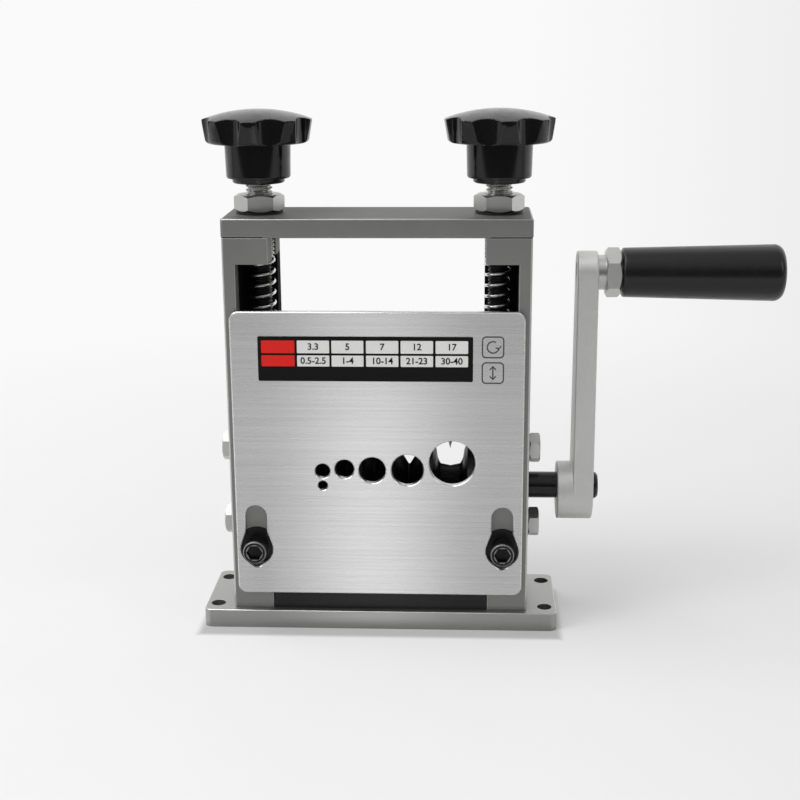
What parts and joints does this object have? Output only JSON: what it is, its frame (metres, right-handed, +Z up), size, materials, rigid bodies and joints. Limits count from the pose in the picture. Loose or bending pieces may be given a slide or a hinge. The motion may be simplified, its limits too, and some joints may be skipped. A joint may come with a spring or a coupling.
{
  "type": "hand crank wire stripper",
  "caption": "Hand crank bench wire stripper: a grooved feed roller and round blades behind a guide plate with wire holes, with star knobs that set the blade height.",
  "frame": {"origin": "centre of the base plate's underside, at the middle of its four bench holes", "axes": "+X to the crank, +Y to the back in the direction in which the wire is fed, +Z up, square to the base"},
  "size_m": [0.2143, 0.046, 0.193],
  "materials": {
    "frame_metal": "satin",
    "base_metal": "satin",
    "plate_steel": "brushed along X",
    "zinc_steel": "bright zinc",
    "spring_steel": "bright",
    "black_steel": "black oxide",
    "blade_steel": "ground",
    "roller_steel": "turned",
    "bronze": "machined",
    "crank_metal": "satin",
    "knob_plastic": "glossy",
    "grip_plastic": "semi-gloss",
    "label_face": "printed"
  },
  "bodies": {
    "frame": {"base_plate": "base_metal", "base_screws": "zinc_steel", "lower_tie_bar": "black_steel", "left_side_frame": "frame_metal", "right_side_frame": "frame_metal", "top_crossbar": "frame_metal", "crossbar_screws": "black_steel", "crossbar_dowels": "zinc_steel", "left_lower_bearing_block": "black_steel", "right_lower_bearing_block": "black_steel", "left_lower_bush": "bronze", "right_lower_bush": "bronze", "left_side_bolts": "zinc_steel", "right_side_bolts": "zinc_steel", "left_side_washers": "zinc_steel", "right_side_washers": "zinc_steel", "left_lock_nut": "zinc_steel", "right_lock_nut": "zinc_steel", "left_lock_washer": "black_steel", "right_lock_washer": "black_steel", "plate_screws": "black_steel", "plate_sleeves": "black_steel", "plate_washers": "black_steel"},
    "guide_plate": {"guide_plate": "plate_steel", "size_label": "label_face"},
    "blade_carriage": {"left_slider_block": "black_steel", "right_slider_block": "black_steel", "left_upper_bush": "bronze", "right_upper_bush": "bronze", "left_spring": "spring_steel", "right_spring": "spring_steel"},
    "blade_set": {"blade_shaft": "black_steel", "round_blade_1": "blade_steel", "round_blade_2": "blade_steel", "round_blade_3": "blade_steel", "round_blade_4": "blade_steel", "round_blade_5": "blade_steel", "blade_spacers": "zinc_steel", "blade_end_collars": "zinc_steel"},
    "left_screw": {"left_adjusting_screw": "black_steel", "left_screw_clip": "zinc_steel", "left_star_knob": "knob_plastic"},
    "right_screw": {"right_adjusting_screw": "black_steel", "right_screw_clip": "zinc_steel", "right_star_knob": "knob_plastic"},
    "crank": {"drive_shaft": "black_steel", "feed_roller": "roller_steel", "roller_pin": "zinc_steel", "crank_arm": "crank_metal", "crank_set_screw": "black_steel", "handle_pin": "zinc_steel", "handle_collar": "zinc_steel", "handle_nut": "zinc_steel"},
    "handle": {"handle_grip": "grip_plastic"}
  },
  "joints": [
    {"name": "plate_drop", "type": "slide", "parent": "frame", "child": "guide_plate", "axis": [0, 0, 1], "range_m": [-0.007, 0]},
    {"name": "carriage_lift", "type": "slide", "parent": "frame", "child": "blade_carriage", "axis": [0, 0, 1], "range_m": [-0.003, 0.008]},
    {"name": "blade_spin", "type": "hinge", "parent": "blade_carriage", "child": "blade_set", "pos_m": [0, 0, 0.0827], "axis": [1, 0, 0], "continuous": true},
    {"name": "left_screw_turn", "type": "hinge", "parent": "blade_carriage", "child": "left_screw", "pos_m": [-0.0438, 0, 0.14], "axis": [0, 0, 1], "range_deg": [-720, 1920]},
    {"name": "right_screw_turn", "type": "hinge", "parent": "blade_carriage", "child": "right_screw", "pos_m": [0.0438, 0, 0.14], "axis": [0, 0, 1], "range_deg": [-720, 1920]},
    {"name": "crank_turn", "type": "hinge", "parent": "frame", "child": "crank", "pos_m": [0, 0, 0.05165], "axis": [1, 0, 0], "continuous": true},
    {"name": "handle_spin", "type": "hinge", "parent": "crank", "child": "handle", "pos_m": [0.118, 0, 0.1337], "axis": [1, 0, 0], "continuous": true}
  ],
  "couplings": [
    {"joint": "left_screw_turn", "follows": "carriage_lift", "rad_per_m": 4188.8},
    {"joint": "right_screw_turn", "follows": "carriage_lift", "rad_per_m": 4188.8}
  ]
}
